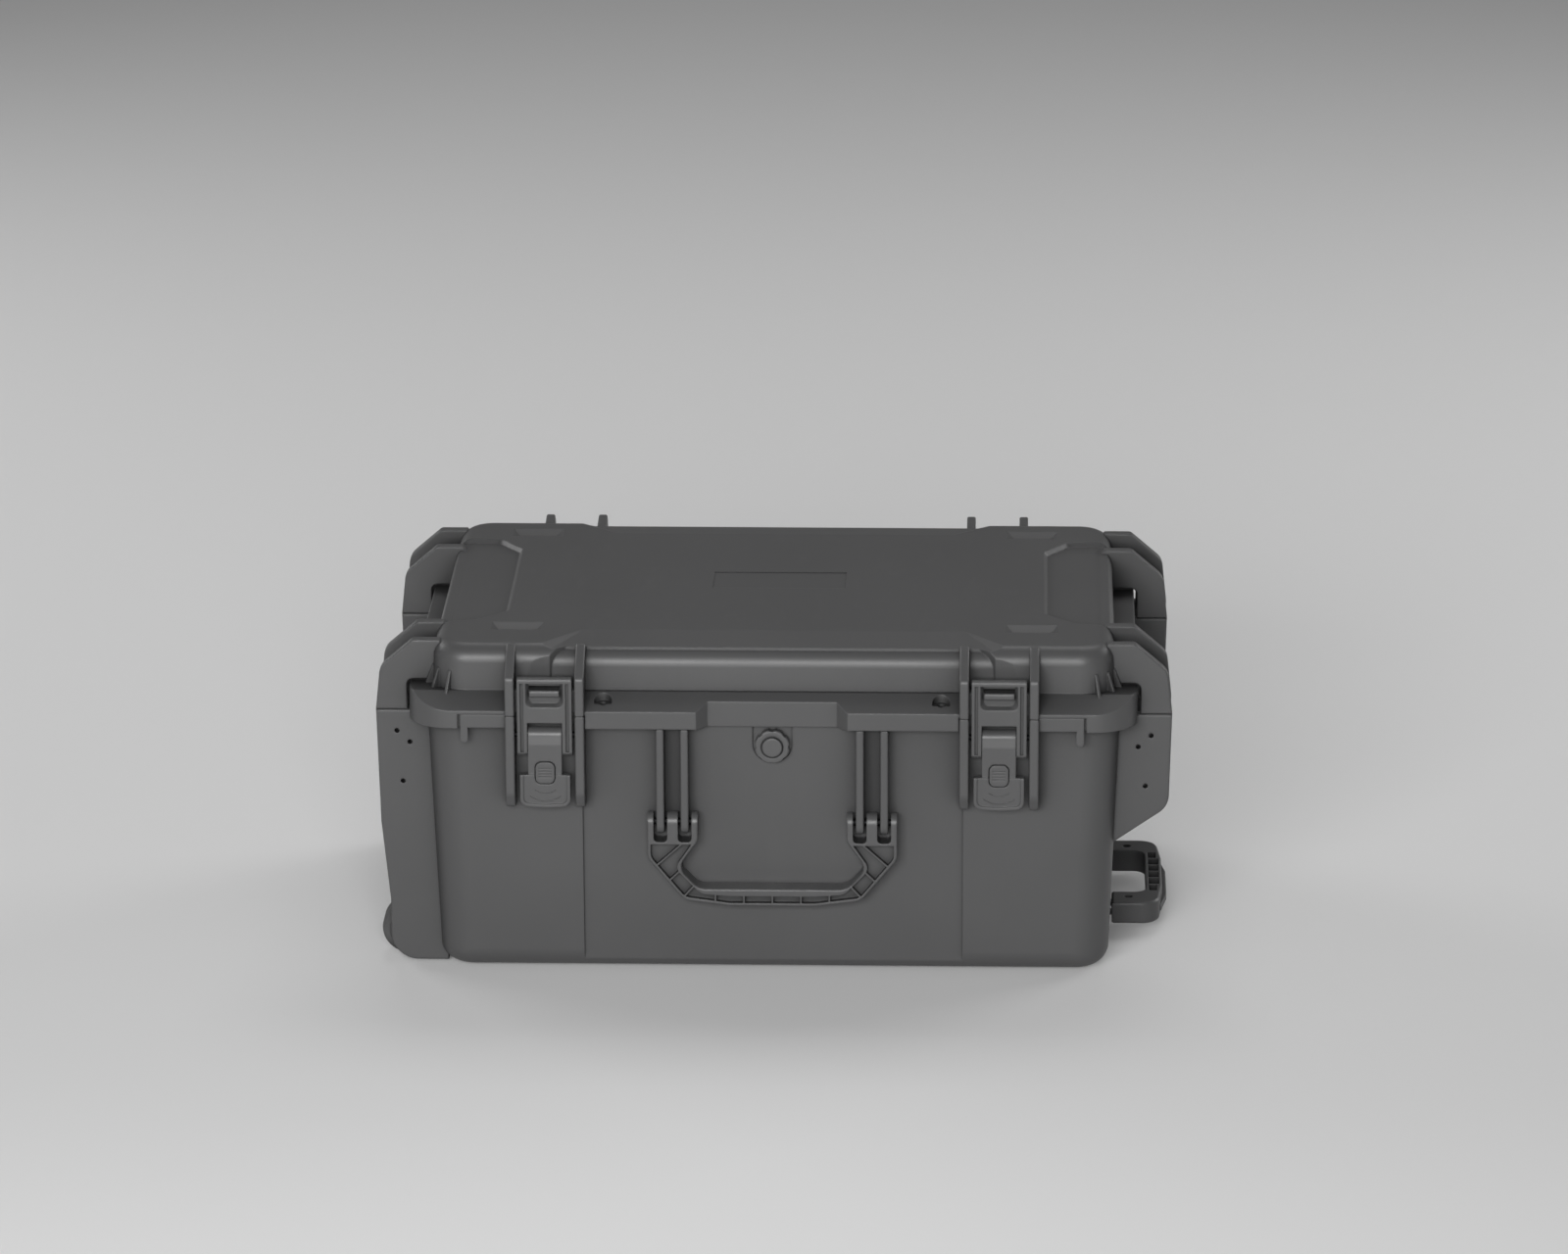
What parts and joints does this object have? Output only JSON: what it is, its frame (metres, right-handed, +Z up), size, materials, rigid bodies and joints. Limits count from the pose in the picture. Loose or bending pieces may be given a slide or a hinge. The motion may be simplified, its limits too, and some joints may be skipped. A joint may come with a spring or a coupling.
{
  "type": "wheeled protective case",
  "caption": "Hard protective case with a hinged lid, draw latches, drop handle, pressure valve, inset wheels and a telescopic pull-out handle under its floor.",
  "frame": {"origin": "on the ground under the middle of the case's box", "axes": "+X towards the pull-out handle, -Y the front with latches and handle, +Z up"},
  "size_m": [0.559, 0.351, 0.2413],
  "materials": {
    "shell": "fine moulded texture",
    "latch": "satin",
    "handle": "satin",
    "grip": "satin",
    "valve": "satin",
    "hub": "satin",
    "bush": "smooth",
    "tyre": "matte",
    "seal": "matte",
    "steel": "plain",
    "tube": "satin anodised"
  },
  "bodies": {
    "base": {"base_shell": "shell", "valve_body": "valve", "valve_washer": "seal", "valve_nut": "valve", "trolley_cover": "shell", "cover_screws": "steel", "tube_block_inner": "bush", "tube_block_mouth": "bush", "hinge_pin_left": "steel", "latch_lever_pin_left": "steel", "handle_pin_left": "steel", "hinge_pin_right": "steel", "latch_lever_pin_right": "steel", "handle_pin_right": "steel", "axle_front": "steel", "axle_washers_front": "bush", "outer_tube_front": "tube", "mouth_bush_front": "bush", "axle_rear": "steel", "axle_washers_rear": "bush", "outer_tube_rear": "tube", "mouth_bush_rear": "bush"},
    "lid": {"lid_shell": "shell", "lid_seal": "seal"},
    "handle": {"front_handle": "handle"},
    "valve_knob": {"valve_knob": "valve"},
    "latch_left": {"latch_lever_left": "latch", "latch_claw_pin_left": "steel", "latch_spring_left": "steel"},
    "claw_left": {"latch_claw_left": "latch"},
    "button_left": {"latch_button_left": "latch"},
    "latch_right": {"latch_lever_right": "latch", "latch_claw_pin_right": "steel", "latch_spring_right": "steel"},
    "claw_right": {"latch_claw_right": "latch"},
    "button_right": {"latch_button_right": "latch"},
    "wheel_front": {"wheel_hub_front": "hub", "tyre_front": "tyre"},
    "wheel_rear": {"wheel_hub_rear": "hub", "tyre_rear": "tyre"},
    "trolley_middle": {"middle_tube_front": "tube", "middle_tube_rear": "tube", "middle_bush_front": "bush", "middle_bush_rear": "bush"},
    "trolley": {"inner_tube_front": "tube", "inner_tube_rear": "tube", "trolley_grip": "grip", "grip_screws": "steel", "release_spring": "steel"},
    "release": {"trolley_release": "grip"}
  },
  "joints": [
    {"name": "lid_hinge", "type": "hinge", "parent": "base", "child": "lid", "pos_m": [0, 0.1695, 0.1965], "axis": [-1, 0, 0], "range_deg": [0, 100]},
    {"name": "latch_lever_left", "type": "hinge", "parent": "base", "child": "latch_left", "pos_m": [-0.1585, -0.1675, 0.181], "axis": [-1, 0, 0], "range_deg": [0, 115]},
    {"name": "latch_claw_left", "type": "hinge", "parent": "latch_left", "child": "claw_left", "pos_m": [-0.1585, -0.1686, 0.1695], "axis": [-1, 0, 0], "range_deg": [-132.25, 0]},
    {"name": "latch_button_left", "type": "slide", "parent": "latch_left", "child": "button_left", "axis": [0, 1, 0], "range_m": [0, 0.001], "stiffness_N_per_m": 400},
    {"name": "latch_lever_right", "type": "hinge", "parent": "base", "child": "latch_right", "pos_m": [0.1585, -0.1675, 0.181], "axis": [-1, 0, 0], "range_deg": [0, 115]},
    {"name": "latch_claw_right", "type": "hinge", "parent": "latch_right", "child": "claw_right", "pos_m": [0.1585, -0.1686, 0.1695], "axis": [-1, 0, 0], "range_deg": [-132.25, 0]},
    {"name": "latch_button_right", "type": "slide", "parent": "latch_right", "child": "button_right", "axis": [0, 1, 0], "range_m": [0, 0.001], "stiffness_N_per_m": 400},
    {"name": "handle_swing", "type": "hinge", "parent": "base", "child": "handle", "pos_m": [0, -0.1642, 0.1165], "axis": [-1, 0, 0], "range_deg": [0, 100]},
    {"name": "valve_turn", "type": "hinge", "parent": "base", "child": "valve_knob", "pos_m": [0, -0.1623, 0.1717], "axis": [0, -1, 0], "range_deg": [0, 180]},
    {"name": "wheel_spin_front", "type": "hinge", "parent": "base", "child": "wheel_front", "pos_m": [-0.2603, -0.11205, 0.02], "axis": [0, 1, 0], "continuous": true},
    {"name": "wheel_spin_rear", "type": "hinge", "parent": "base", "child": "wheel_rear", "pos_m": [-0.2603, 0.11205, 0.02], "axis": [0, 1, 0], "continuous": true},
    {"name": "trolley_middle_slide", "type": "slide", "parent": "base", "child": "trolley_middle", "axis": [1, 0, 0], "range_m": [0, 0.27]},
    {"name": "trolley_grip_slide", "type": "slide", "parent": "trolley_middle", "child": "trolley", "axis": [1, 0, 0], "range_m": [0, 0.27]},
    {"name": "release_press", "type": "slide", "parent": "trolley", "child": "release", "axis": [-1, 0, 0], "range_m": [0, 0.0025], "stiffness_N_per_m": 600}
  ],
  "couplings": [
    {"joint": "latch_claw_left", "follows": "latch_lever_left", "ratio": -1.15},
    {"joint": "latch_claw_right", "follows": "latch_lever_right", "ratio": -1.15},
    {"joint": "trolley_grip_slide", "follows": "trolley_middle_slide", "ratio": 1}
  ]
}
